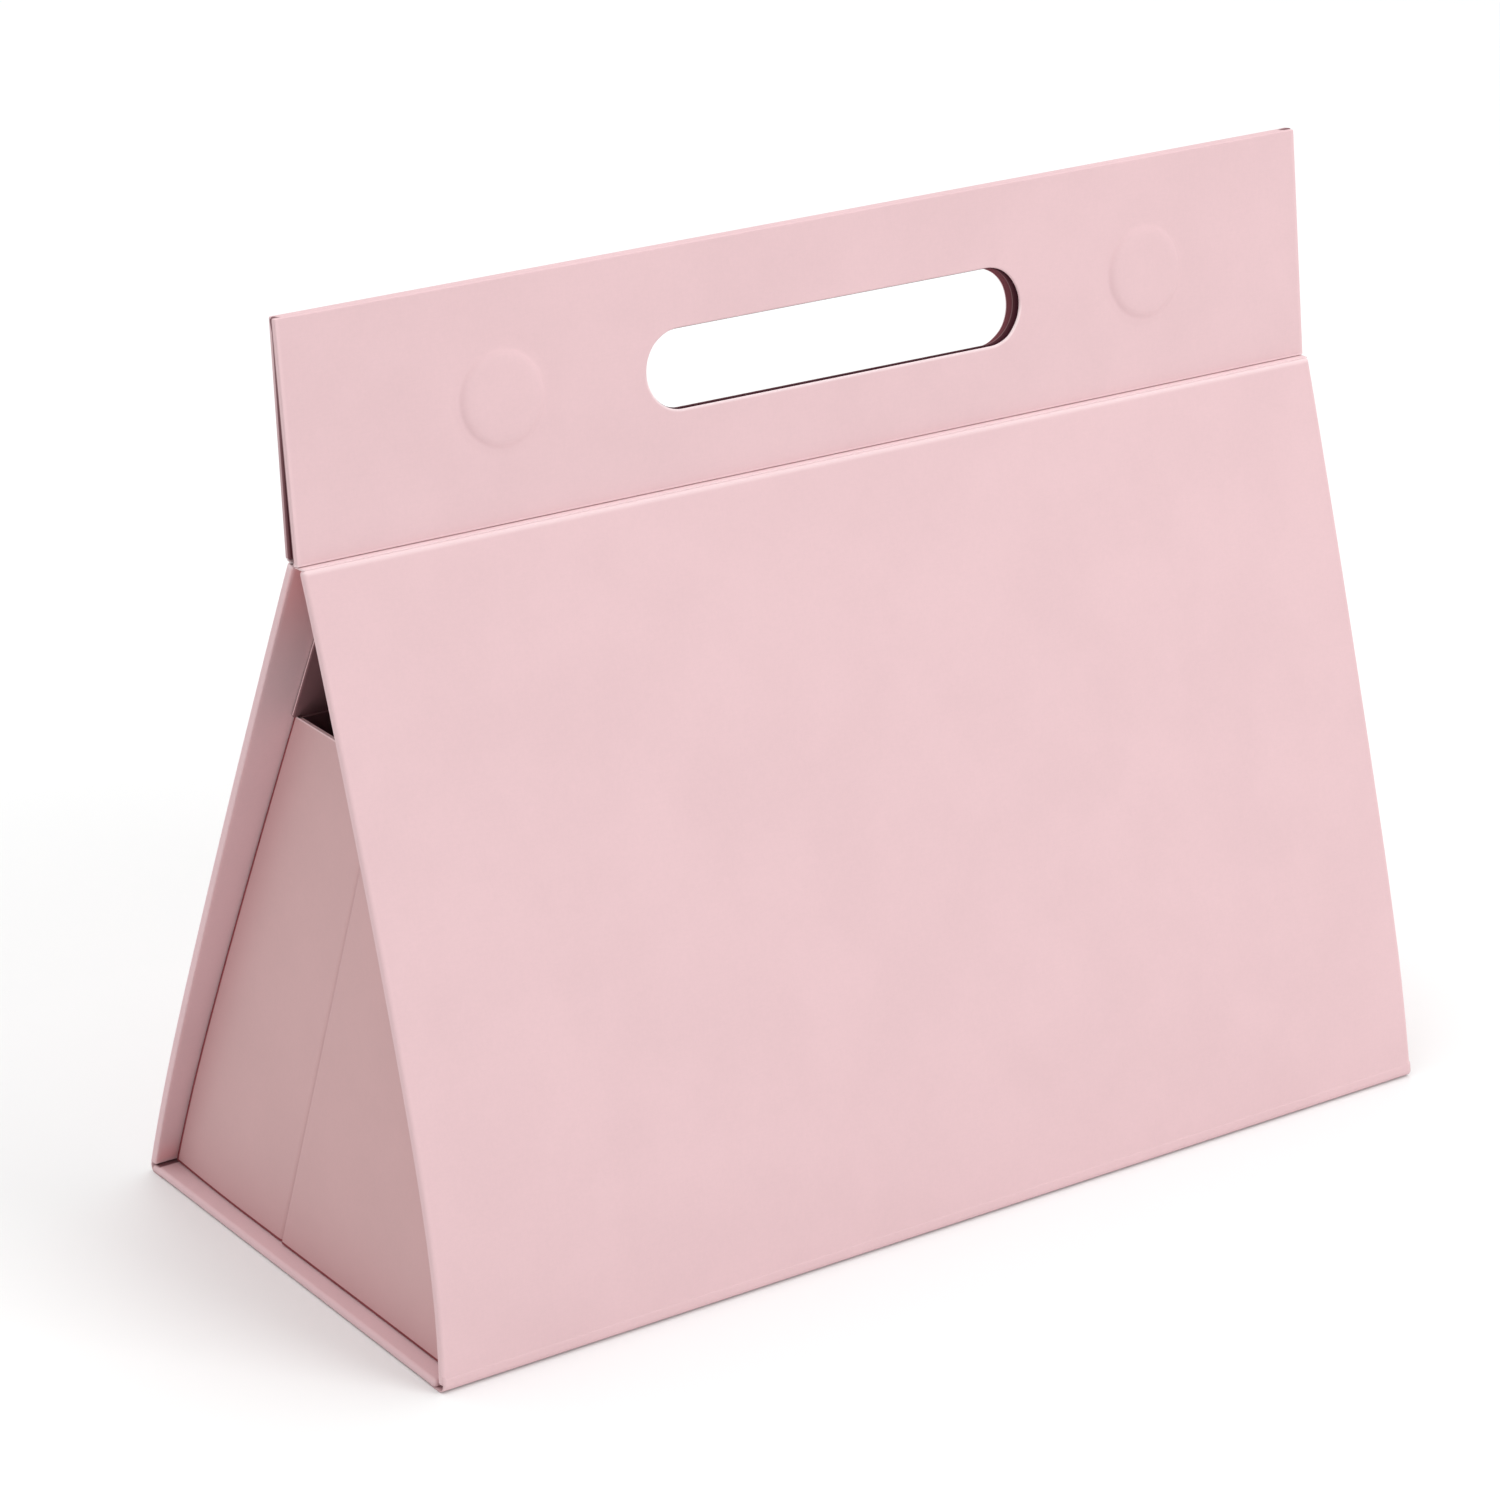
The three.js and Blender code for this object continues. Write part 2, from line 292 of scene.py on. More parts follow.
def make_piece(
    name, points, faces, body, nodes, materials, round_to=0.0, marks=None, turned=-1
):
    """Makes one piece from points in millimetres, rounds its edges and sets it on its body.

    Marks choose a material for each face, and turned the one that the rounding takes."""
    mesh = bpy.data.meshes.new(name)
    mesh.from_pydata([Vector(p) * MM for p in points], [], faces)
    mesh.validate()
    shell = bmesh.new()
    shell.from_mesh(mesh)
    bmesh.ops.recalc_face_normals(shell, faces=shell.faces)
    shell.to_mesh(mesh)
    shell.free()
    for material in materials:
        mesh.materials.append(material)
    if marks:
        for polygon, mark in zip(mesh.polygons, marks):
            polygon.material_index = mark
    mesh.polygons.foreach_set("use_smooth", [True] * len(mesh.polygons))
    piece = bpy.data.objects.new(name, mesh)
    bpy.context.scene.collection.objects.link(piece)
    if round_to:
        bevel = piece.modifiers.new("soft_edges", "BEVEL")
        bevel.width = round_to * MM
        bevel.segments = 4
        bevel.limit_method = "ANGLE"
        bevel.angle_limit = math.radians(40)
        bevel.harden_normals = True
        bevel.material = turned
    if body:
        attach(piece, body)
    if nodes:
        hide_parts(*nodes)
    return piece


def panel_mesh(across, along, place, near, far):
    """A closed slab: a net of points on its near face, the same on its far face, and rims."""
    columns = len(across)
    rows = len(along)
    points = [place(a, b, near) for b in along for a in across]
    points += [place(a, b, far) for b in along for a in across]
    back = columns * rows
    faces = []
    for j in range(rows - 1):
        for i in range(columns - 1):
            a = j * columns + i
            b, c, d = a + 1, a + columns + 1, a + columns
            faces.append((a, b, c, d))
            faces.append((back + d, back + c, back + b, back + a))
    for i in range(columns - 1):
        low = i
        high = (rows - 1) * columns + i
        faces.append((low, back + low, back + low + 1, low + 1))
        faces.append((high + 1, back + high + 1, back + high, high))
    for j in range(rows - 1):
        left = j * columns
        right = left + columns - 1
        faces.append((left + columns, back + left + columns, back + left, left))
        faces.append((right, back + right, back + right + columns, right + columns))
    return points, faces


def half_depth(inside, z):
    """Half the box's depth at a height, on the surface this far inside the outer faces."""
    return BOX_D / 2 - z * math.tan(LEAN) - inside / math.cos(LEAN)


BASE_BACK = 56.9
WRAP_ROUND = 0.95

base_half = half_depth(WALL_T + SEAT, BASE_T)
base_points, base_faces = panel_mesh(
    spread_points(-BOX_W / 2, BOX_W / 2, 9),
    spread_points(-base_half, BASE_BACK, 7),
    lambda x, y, z: (x, y, z),
    BASE_T,
    0.0,
)
make_piece(
    "wrapped_base",
    base_points,
    base_faces,
    "case",
    ["base_board"],
    [wrap_paper],
    WRAP_ROUND,
)

# Walls: two more wrapped panels, which lean in and meet at the neck. The greyboard bows
# out a little, as wrapped board does, and the front one is the lid, folded at its foot.
FRONT_START = 1.9
BACK_START = 2.33
BACK_FOOT = 2.2
FRONT_BOW = (5.7, 2.3)
BACK_BOW = (2.0, 2.0)
BOW_REACH = 0.13
BOW_TURN = 1.15
BOW_FADE = 0.9
BOW_PEAK = 0.85
WAVE = 0.12
WAVE_LENGTH = 60


def bulge(side, x, up):
    """How far a wall bows out: most below its middle, and more at its left end."""
    t = min(1.0, max(0.0, up / WALL_LENGTH))
    left, right = FRONT_BOW if side < 0 else BACK_BOW
    size = left + (right - left) * (0.5 + x / BOX_W)
    rise = 1 - math.exp(-((t / BOW_REACH) ** BOW_TURN))
    return size * rise * (1 - t * t) ** BOW_FADE / BOW_PEAK


def wall_place(side):
    """Where a point of a wall lies: x, its length up the slope, and its depth inside."""

    def place(x, up, inside):
        if side > 0:
            up = max(up, (BACK_FOOT + inside * math.sin(LEAN)) / math.cos(LEAN))
        arch = math.sin(math.pi * min(1, max(0, up / WALL_LENGTH)))
        wave = WAVE * noise.noise(Vector((x / WAVE_LENGTH, up / WAVE_LENGTH, side * 3.0)))
        out = bulge(side, x, up) + wave * arch - inside
        y = side * (BOX_D / 2 - up * math.sin(LEAN) + out * math.cos(LEAN))
        return (x, y, up * math.cos(LEAN) + out * math.sin(LEAN))

    return place


for label, side, body in (("front", -1, "front_wall"), ("back", 1, "case")):
    points, faces = panel_mesh(
        spread_points(-BOX_W / 2, BOX_W / 2, 6),
        spread_points(FRONT_START if side < 0 else BACK_START, WALL_LENGTH, 5),
        wall_place(side),
        0.0,
        WALL_T,
    )
    make_piece(
        f"wrapped_{label}_wall",
        points,
        faces,
        body,
        [f"{label}_wall_board"],
        [wrap_paper],
        WRAP_ROUND,
    )

# Linings: thin boards glued inside, with pale rims, which cover the wrap's turned-in edges.
# Their faces are painted a deep rose as painted shade, so the inside of the box reads dark.
# They stop short of the side edges, a little more with each millimetre up.
LINER_T = 0.9
LINER_GLUE = 0.12
FLOOR_T = 1.2
LINER_FOOT = 0.8
LINER_DROP = 12
INSET_FOOT = 4.2
INSET_LEAN = 0.038
FLOOR_TOP = BASE_T + SEAT + FLOOR_T
LINER_IN = WALL_T + LINER_GLUE + LINER_T
SHEET_T = 0.8
GUSSET_H = 120.7
CREASE_RISE = 0.6
RIM_COVER = SEAT + CREASE_RISE + SHEET_T + 0.1

# Painted shade: the linings' deep rose stands in for the shade inside the box.
lining_shade_paper = paper("painted_shade_lining", *shades(0.22, 0.10, 0.11, 0.06))
rim_paper = paper("pale_lining_rim", *shades(0.76, 0.52, 0.54))


def side_edge(z):
    """Half the width of the linings at a height."""
    return BOX_W / 2 - INSET_FOOT - INSET_LEAN * z


def smooth(t):
    """0 below 0, 1 above 1, smooth between them."""
    t = min(1.0, max(0.0, t))
    return t * t * (3 - 2 * t)


def lining_half(z, side=-1):
    """Half a lining's width. Its rim lies behind the gusset's sheet, and the back lining
    comes out to the full width above the sheet's top."""
    above = smooth((z - GUSSET_H - 0.1) / 0.5) if side > 0 else 0.0
    return side_edge(z) - RIM_COVER * (1 - above)


def narrowing(side):
    """A place in a wall, with x given as a share of the linings' half width."""
    place = wall_place(side)

    def at(share, up, inside):
        return place(share * lining_half(up * math.cos(LEAN), side), up, inside)

    return at


def rim_marks(faces, columns, rows):
    """The rims of a slab come after its two faces, and take the second material."""
    broad = 2 * (columns - 1) * (rows - 1)
    return [0] * broad + [1] * (len(faces) - broad)


shares = [x / (BOX_W / 2) for x in spread_points(-BOX_W / 2, BOX_W / 2, 9)]
liner_low = (FLOOR_TOP + LINER_FOOT + LINER_IN * math.sin(LEAN)) / math.cos(LEAN)
liner_high = WALL_LENGTH - LINER_DROP / math.cos(LEAN)
for label, side, body in (("front", -1, "front_wall"), ("back", 1, "case")):
    ups = spread_points(liner_low, liner_high, 6, 0.8)
    ups = sorted(ups + [(GUSSET_H + extra) / math.cos(LEAN) for extra in (0.1, 0.35, 0.6)])
    points, faces = panel_mesh(
        shares,
        ups,
        narrowing(side),
        WALL_T + LINER_GLUE,
        LINER_IN,
    )
    make_piece(
        f"{label}_lining_board",
        points,
        faces,
        body,
        [f"{label}_lining"],
        [lining_shade_paper, rim_paper],
        0.3,
        rim_marks(faces, len(shares), len(ups)),
        0,
    )

floor_half = half_depth(WALL_T + SEAT, FLOOR_TOP)
floor_points, floor_faces = panel_mesh(
    shares,
    spread_points(-floor_half, floor_half, 7, 0.8),
    lambda share, y, z: (share * lining_half(0), y, z),
    FLOOR_TOP,
    BASE_T + 0.1,
)
make_piece(
    "base_lining_board",
    floor_points,
    floor_faces,
    "case",
    ["base_lining"],
    [lining_shade_paper],
    0.4,
)

# Gussets: each side is closed by one sheet of pink card, glued along the back lining and on
# the base lining by strips faced like the linings. One oblique crease is scored in it, where
# the card folds on the real box, and its front edge is left free.
GLUE_W = 15
CREASE_FOOT = 10.6
CREASE_LEAN = math.radians(13.4)
CREASE_GROOVE = 0.22
FREE_GAP = 0.5
GUSSET_Z = FLOOR_TOP + SEAT
SHEET_GAP = 0.35
TINT_PAST = 1.5
BACK_FADE = 14
FRONT_FADE = 40
STEP_OUT = 0.3
STEP_RUN = 0.7
BELLY = 0.5
BELLY_REACH = 45
GROOVE_HALF = 0.45


def crease_shade_and_tip_highlight(place):
    """Painted light on the card: shade along the crease and beside the boards, a highlight on its
    top.
    """
    y = place.part(1)
    z = place.part(2)
    away = y + (z - GUSSET_Z * MM) * math.tan(CREASE_LEAN) - CREASE_FOOT * MM
    line = 1 - away.size().rises(0.1, 0.6)
    foot = 1 - z.rises(BASE_T, BASE_T + 20)
    back_edge = (BOX_D / 2 - (WALL_T + SHEET_GAP - TINT_PAST) / math.cos(LEAN)) * MM
    back = (y + z * math.tan(LEAN) - back_edge).rises(-12, 0)
    tip = z.rises(GUSSET_H - 0.5, GUSSET_H - 0.15)
    # Painted shade near the foot, the back edge and the crease, and a painted highlight on the top
    # edge.
    return [
        (foot.most(back) * 0.4, (0.60, 0.33, 0.34, 1.0)),
        (line * 0.4, (0.50, 0.28, 0.29, 1.0)),
        (tip * 0.8, (0.86, 0.64, 0.65, 1.0)),
    ]


gusset_card = paper(
    "pink_gusset_card", *shades(0.65, 0.41, 0.412), roughness=0.78, touches=crease_shade_and_tip_highlight
)
shaded_card = paper("shaded_card_rim", *shades(0.28, 0.07, 0.08, 0.1), gloss=0.1)


def gusset_back(sign, z, inside=WALL_T + SHEET_GAP):
    """The depth at which a sheet of the gusset meets the back wall, which bows out."""
    bow = bulge(1, sign * side_edge(z), z / math.cos(LEAN))
    return half_depth(inside - bow, z)


def gusset_front(sign, z):
    """The gusset's free edge, just clear of the front wall's bowed inner face."""
    bow = bulge(-1, sign * side_edge(z), z / math.cos(LEAN))
    return -half_depth(WALL_T + FREE_GAP - bow, z)


def crease_y(z):
    """Where the crease runs: it leans towards the front as it climbs."""
    return CREASE_FOOT - (z - GUSSET_Z) * math.tan(CREASE_LEAN)


def gusset_out(sign, y, z):
    """How far the creased sheet stands out: it rises to the crease and stays proud of it."""
    crease = max(crease_y(z), gusset_front(sign, z))
    behind = max(0.0, y - crease)
    before = max(0.0, crease - y)
    climb = 1 - (z - GUSSET_Z) / (GUSSET_H - GUSSET_Z)
    back_part = CREASE_RISE * math.exp(-behind / BACK_FADE)
    front_part = CREASE_RISE * (1 - 0.35 * min(1.0, before / FRONT_FADE))
    front_part += STEP_OUT * min(1.0, before / STEP_RUN)
    rise = back_part if behind > 0 else front_part
    belly = BELLY * math.sin(math.pi * min(1.0, behind / BELLY_REACH)) * climb
    groove = CREASE_GROOVE * math.exp(-(((behind + before) / GROOVE_HALF) ** 2))
    return rise * (0.35 + 0.65 * climb) + belly - groove


def make_gusset(label, sign):
    """The sheet, and the two strips of it that are folded in and glued down."""
    outer = side_edge(0) - SEAT - CREASE_RISE

    def upright(share, z, depth):
        back = gusset_back(sign, z)
        front = gusset_front(sign, z)
        crease = max(crease_y(z), front + 0.05)
        y = crease + (back - crease) * share if share > 0 else crease + (crease - front) * share
        x = outer + gusset_out(sign, y, z) - INSET_LEAN * z - depth
        return (sign * x, y, z)

    def glued_back(x, z, depth):
        y = gusset_back(sign, z, LINER_IN + 0.1 + depth)
        return (sign * (x - INSET_LEAN * z), y, z)

    def glued_foot(x, y, depth):
        return (sign * (x - INSET_LEAN * GUSSET_Z), y, GUSSET_Z - 0.2 + depth)

    shares_back = [0.004, 0.012, 0.03, 0.07, 0.13, 0.22, 0.33, 0.45]
    shares_back += [0.58, 0.7, 0.82, 0.93, 0.985, 1]
    shares_front = [-1, -0.96, -0.85, -0.7, -0.55, -0.4]
    shares_front += [-0.25, -0.13, -0.06, -0.025, -0.01, -0.004]
    strip = [outer - GLUE_W, outer - 4, outer - 0.02]
    heights = spread_points(GUSSET_Z, GUSSET_H, 4, 0.7)
    tall = [BASE_T + SHEET_GAP, BASE_T + SHEET_GAP + 0.5] + heights
    glued_half = half_depth(LINER_IN + 1.5, GUSSET_Z)
    parts = [
        panel_mesh(shares_front + [0.0] + shares_back, tall, upright, 0.0, SHEET_T),
        panel_mesh(strip, heights, glued_back, SHEET_T, 0.0),
        panel_mesh(
            strip,
            spread_points(-glued_half, glued_half, 6, 0.8),
            glued_foot,
            SHEET_T,
            0.0,
        ),
    ]
    points = []
    faces = []
    for part_points, part_faces in parts:
        start = len(points)
        points += part_points
        faces += [tuple(start + i for i in face) for face in part_faces]
    columns = len(shares_front) + len(shares_back)
    card, shaded, faced = range(3)
    marks = [card] * len(faces)
    for row in range(len(tall) - 1):
        for column in range(columns):
            if row == 0 or column == columns - 1:
                marks[2 * (row * columns + column)] = shaded
    upright_faces = len(parts[0][1])
    # The glued strips take the lining paper, whose deep rose is painted shade.
    marks[upright_faces:] = [faced] * (len(faces) - upright_faces)
    make_piece(
        f"{label}_gusset_sheet",
        points,
        faces,
        "case",
        [f"{label}_gusset"],
        [gusset_card, shaded_card, lining_shade_paper],
        0.22,
        marks,
    )


make_gusset("left", -1)
make_gusset("right", 1)

# Handle flaps: two wrapped boards above the neck, which lean back together. The slot for
# the hand is punched through both, and the paper puckers slightly round its ends.
HANDLE_H = 50.7
FLAP_T = 1.6
LINING_T = 0.3
GLUE = 0.15
FOLD_GAP = 0.6
MAGNET_D = 20
MAGNET_X = 86
MAGNET_UP = 25.6
BUMP_T = 0.75
PRESSED_NEAR = 0.1
TOP_TILT = (-1.35, 0.45)
DISC_RADII = (1.0, 3.5, 6.5, 8.6, 9.6, 10.0, 10.3, 10.6, 10.9, 11.2, 11.5, 11.9)
DISC_OUTSIDE = 12.4
DISC_RINGS = (0.0, 0.8, 1.8)
SLOT_RINGS = (0.0, 0.7, 1.3, 2.0, 3.0, 4.4)
NET_STEP = 1.5
PUCKER_RISE = 0.16
PUCKER_DIP = 0.08
PUCKER_TURN = 11
PUCKER_REACH = 4.5
BOARD_NEAR = GLUE + LINING_T + GLUE
BOARD_FAR = BOARD_NEAR + FLAP_T


def slot_front_shade(place):
    """Painted shade: the cut board is painted darkest at the front face, lighter towards the back.
    """
    y = place.part(1) - HANDLE_Y * MM
    z = place.part(2) - NECK_H * MM
    depth = y * math.cos(HANDLE_LEAN) - z * math.sin(HANDLE_LEAN)
    return [(depth.rises(-1.6, 2.4), (0.24, 0.075, 0.09, 1.0))]


# The slot's inside takes the cut board's own dark maroon, with painted shade making it darkest at
# the front face.
cut_edge = paper(
    "dark_cut_edge",
    *shades(0.045, 0.010, 0.016, 0.15),
    roughness=0.9,
    grain=0.00008,
    gloss=0.05,
    touches=slot_front_shade,
)


def handle_point(x, up, depth):
    """From the leaning handle's own frame to the box's: depth is behind its middle plane."""
    y = HANDLE_Y + up * math.sin(HANDLE_LEAN) + depth * math.cos(HANDLE_LEAN)
    z = NECK_H + up * math.cos(HANDLE_LEAN) - depth * math.sin(HANDLE_LEAN)
    return (x, y, z)


def handle_up(y, z):
    """How far up the leaning handle a point lies."""
    return (y - HANDLE_Y) * math.sin(HANDLE_LEAN) + (z - NECK_H) * math.cos(HANDLE_LEAN)


def flap_foot(side):
    """Where a flap starts, just clear of its wall's top face."""
    outer = handle_up(side * NECK_D / 2, NECK_H)
    inner_y = NECK_D / 2 - WALL_T * math.cos(LEAN)
    inner = handle_up(side * inner_y, NECK_H - WALL_T * math.sin(LEAN))
    return (max(outer, inner) if side > 0 else inner) + FOLD_GAP


def slot_distance(x, up):
    """Distance outside the slot's edge, with the angle round the nearer of its ends."""
    half = (SLOT_W - SLOT_H) / 2
    dx = x - CUT_SHIFT
    ahead = max(0.0, abs(dx) - half)
    away = math.hypot(ahead, up - SLOT_UP) - SLOT_H / 2
    return away, math.atan2(up - SLOT_UP, ahead), dx > 0, ahead > 0


# Each pucker: which end (right or left), its angle and how strong it is.
PUCKERS = ((True, 66, 1.0), (True, -58, 0.8), (True, 8, 0.35), (False, 62, 0.5), (False, -66, 0.6))


def flap_relief(x, up):
    """How far the outer face stands out: magnet discs, puckers and a slight waviness."""
    rise = 0.05 * noise.noise(Vector((x / 40, up / 30, 7.0)))
    for centre in (CUT_SHIFT - MAGNET_X, CUT_SHIFT + MAGNET_X):
        away = math.hypot(x - centre, up - MAGNET_UP)
        rise += BUMP_T * smooth((MAGNET_D / 2 + 0.6 - away) / 1.7)
        rise -= 0.05 * math.exp(-(((away - MAGNET_D / 2 - 2.0) / 0.9) ** 2))
    away, angle, right, round_end = slot_distance(x, up)
    if round_end:
        for end, degrees, strength in PUCKERS:
            if end == right:
                turn = (math.degrees(angle) - degrees) / PUCKER_TURN
                fade = math.exp(-((away / PUCKER_REACH) ** 2))
                rise += PUCKER_RISE * strength * math.exp(-turn * turn) * fade
                rise -= PUCKER_DIP * strength * math.exp(-((turn - 2.1) ** 2)) * fade
    return rise


class Net:
    """Points shared between blocks, so that the blocks of a face join without a seam."""

    def __init__(self):
        self.points = []
        self.index = {}
        self.faces = []

    def point(self, x, up):
        key = (round(x * 2000), round(up * 2000))
        if key not in self.index:
            self.index[key] = len(self.points)
            self.points.append((x, up))
        return self.index[key]

    def rings(self, rings):
        """Fills between rings of points, each ring running the same way round."""
        for inner, outer in zip(rings, rings[1:]):
            count = len(inner)
            for i in range(count):
                j = (i + 1) % count
                corners = [self.point(*p) for p in (inner[i], outer[i], outer[j], inner[j])]
                if len(set(corners)) == 4:
                    self.faces.append(tuple(corners))


def border(x0, x1, low, high, step):
    """The points round a rectangle, anticlockwise from its lower left corner."""
    across = max(2, round((x1 - x0) / step))
    upward = max(2, round((high - low) / step))
    points = [(x0 + (x1 - x0) * i / across, low) for i in range(across)]
    points += [(x1, low + (high - low) * i / upward) for i in range(upward)]
    points += [(x1 - (x1 - x0) * i / across, high) for i in range(across)]
    points += [(x0, high - (high - low) * i / upward) for i in range(upward)]
    return points


def rings_between(inner, outer, first):
    """Rings from inner to outer: close ones at first, then evenly, and one near the rim."""
    rings = [[] for _ in range(len(first) + 7)]
    for (xa, ua), (xb, ub) in zip(inner, outer):
        length = math.hypot(xb - xa, ub - ua)
        stops = [d / length for d in first]
        last = 1 - 0.9 / length
        start = stops[-1]
        stops += [start + (last - start) * k / 6 for k in range(1, 7)] + [1.0]
        for ring, t in zip(rings, stops):
            ring.append((xa + (xb - xa) * t, ua + (ub - ua) * t))
    return rings


def magnet_block(net, x0, x1, low, high, centre):
    """A part of the flap with a raised disc over a magnet."""
    outer = border(x0, x1, low, high, NET_STEP)
    angles = [math.atan2(u - MAGNET_UP, x - centre) for x, u in outer]

    def circle(radius):
        return [(centre + radius * math.cos(a), MAGNET_UP + radius * math.sin(a)) for a in angles]

    discs = [circle(r) for r in DISC_RADII]
    net.rings(discs + rings_between(circle(DISC_OUTSIDE), outer, DISC_RINGS))
    hub = net.point(centre, MAGNET_UP)
    first = discs[0]
    for i in range(len(first)):
        j = (i + 1) % len(first)
        net.faces.append((hub, net.point(*first[i]), net.point(*first[j])))


def slot_block(net, x0, x1, low, high):
    """The middle of the flap, round the slot. Returns the points on the slot's edge."""
    outer = border(x0, x1, low, high, NET_STEP)
    half = (SLOT_W - SLOT_H) / 2
    radius = SLOT_H / 2
    edge = []
    for x, up in outer:
        dx = x - CUT_SHIFT
        if abs(dx) <= half:
            edge.append((x, SLOT_UP + math.copysign(radius, up - SLOT_UP)))
        else:
            end = CUT_SHIFT + math.copysign(half, dx)
            turn = math.atan2(up - SLOT_UP, x - end)
            edge.append((end + radius * math.cos(turn), SLOT_UP + radius * math.sin(turn)))
    net.rings(rings_between(edge, outer, SLOT_RINGS))
    return edge


def loop_of(net):
    """The outside edges of the net, as pairs of points in the faces' own direction."""
    seen = {}
    for face in net.faces:
        for a, b in zip(face, face[1:] + face[:1]):
            seen[(a, b)] = True
    return [(a, b) for a, b in seen if (b, a) not in seen]


def towards_middle(x, up, inset):
    """A point of the slot's edge moved into the slot."""
    half = (SLOT_W - SLOT_H) / 2
    spine = min(max(x, CUT_SHIFT - half), CUT_SHIFT + half)
    length = math.hypot(spine - x, SLOT_UP - up)
    return x + (spine - x) / length * inset, up + (SLOT_UP - up) / length * inset


def make_slot_edge(label, side, body, edge, place):
    """The strip turned in through the slot, which covers the cut edge of the flap's lining."""
    points = []
    rings = ((BOARD_FAR - 0.55, 0.1), (0.04, 0.1), (0.04, 0.02), (BOARD_FAR - 0.55, 0.02))
    for depth, inset in rings:
        share = depth / BOARD_FAR
        for x, up in edge:
            points.append(place(*towards_middle(x, up, inset), side * depth, share))
    count = len(edge)
    faces = []
    for ring in range(4):
        for i in range(count):
            j = (i + 1) % count
            low = ring * count
            high = (ring + 1) % 4 * count
            faces.append((low + i, low + j, high + j, high + i))
    make_piece(f"{label}_slot_edge", points, faces, body, [], [cut_edge])


def make_flap(label, side, body, skew, drift):
    """One flap. The back one was wrapped a touch out of square, which skew gives, and its
    slot drifts a little from the front one's towards its outer face."""
    foot = flap_foot(side)

    def place(x, up, depth, share):
        left, right = TOP_TILT
        up += (left + (right - left) * (0.5 + x / BOX_W)) * (up / HANDLE_H) ** 2
        away = max(0.0, slot_distance(x, up)[0])
        pull = share * math.exp(-((away / 6) ** 2))
        return handle_point(
            x + skew * up / HANDLE_H + drift[0] * pull, up + drift[1] * pull, depth
        )

    net = Net()
    left = CUT_SHIFT - 60
    right = CUT_SHIFT + 60
    magnet_block(net, -BOX_W / 2, left, foot, HANDLE_H, CUT_SHIFT - MAGNET_X)
    slot_edge = slot_block(net, left, right, foot, HANDLE_H)
    edge = {net.point(*p) for p in slot_edge}
    magnet_block(net, right, BOX_W / 2, foot, HANDLE_H, CUT_SHIFT + MAGNET_X)
    count = len(net.points)
    points = []
    for x, up in net.points:
        points.append(place(x, up, side * (BOARD_FAR + flap_relief(x, up)), 1))
    for x, up in net.points:
        pressed = smooth((up - HANDLE_H + 2.2) / 1.2)
        near = BOARD_NEAR + (PRESSED_NEAR - BOARD_NEAR) * pressed
        points.append(place(x, up, side * near, near / BOARD_FAR))
    faces = list(net.faces)
    marks = [0] * len(faces)
    faces += [tuple(reversed([i + count for i in face])) for face in net.faces]
    marks += [1] * len(net.faces)
    for a, b in loop_of(net):
        faces.append((b, a, a + count, b + count))
        marks.append(1 if a in edge and b in edge else 0)
    make_slot_edge(label, side, body, slot_edge, place)
    return make_piece(
        f"wrapped_{label}_flap",
        points,
        faces,
        body,
        [f"{label}_handle_board"],
        [wrap_paper, cut_edge],
        0.5,
        marks,
        0,
    )


make_flap("front", -1, "front_flap", 0.0, (0.0, 0.0))
make_flap("back", 1, "back_flap", 1.3, (-1.2, -0.55))

# Flap linings and magnets: thin paper glued on the flaps' inner faces, over round plated
# magnets sunk in the board. They keep the shapes of the imported model.
# The flap linings take the lining paper, whose deep rose is painted shade.
for label in ("front", "back"):
    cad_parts[f"{label}_flap_lining"].data.materials.clear()
    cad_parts[f"{label}_flap_lining"].data.materials.append(lining_shade_paper)


def plated_steel(name):
    """Nickel plate: bright, with fine drawn lines and cloudy wear."""
    material, shader, place = new_material(name)
    lines = place.node(
        "ShaderNodeMapping", {}, {"Vector": place, "Scale": (4000.0, 300.0, 300.0)}
    )
    drawn = place.node("ShaderNodeTexNoise", {}, {"Vector": lines, "Scale": 1.0, "Detail": 2})
    cloud = place.node("ShaderNodeTexNoise", {}, {"Vector": place, "Scale": 300, "Detail": 4})
    shader.inputs["Metallic"].default_value = 1.0
    tone = blend_colours(cloud, (0.62, 0.61, 0.6, 1), (0.75, 0.75, 0.76, 1))
    place.tree.links.new(tone.socket, shader.inputs["Base Color"])
    rough = 0.2 + 0.2 * drawn + 0.1 * cloud
    place.tree.links.new(rough.socket, shader.inputs["Roughness"])
    return material


nickel = plated_steel("nickel_plate")
for label in ("front", "back"):
    for hand in ("left", "right"):
        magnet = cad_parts[f"{label}_magnet_{hand}"]
        magnet.data.materials.clear()
        magnet.data.materials.append(nickel)

# Fold strips: between the boards only the paper remains, which on the real box works as the hinge.
# Each
# strip is a double layer of paper, pressed into the groove and rounded over the foot.
PAPER_T = 0.22
PAPER_LIFT = 0.02
PAPER_INSET = 0.25
FOOT_RADIUS = 1.35
FOOT_TURNS = 8
UNDER_BASE = (5.2, 3.6)
UP_WALL = ((3.0, 0.04), (3.8, -0.06))


def strip_mesh(profile, side, bowed):
    """A thin sheet along the box's width, from an outline of outer (y, z) points.

    A bowed sheet follows its wall, which bows out above the foot."""
    xs = spread_points(-BOX_W / 2 + PAPER_INSET, BOX_W / 2 - PAPER_INSET, 9)
    inner = []
    for i, (y, z) in enumerate(profile):
        ya, za = profile[max(0, i - 1)]
        yb, zb = profile[min(len(profile) - 1, i + 1)]
        length = math.hypot(yb - ya, zb - za)
        depth = -side * PAPER_T
        inner.append((y + (zb - za) / length * depth, z - (yb - ya) / length * depth))

    def place(x, i, layer):
        y, z = inner[i] if layer else profile[i]
        bow = bulge(side, x, profile[i][1] / math.cos(LEAN)) if bowed else 0.0
        return (x, y + side * bow * math.cos(LEAN), z + bow * math.sin(LEAN))

    return panel_mesh(xs, range(len(profile)), place, 0, 1)


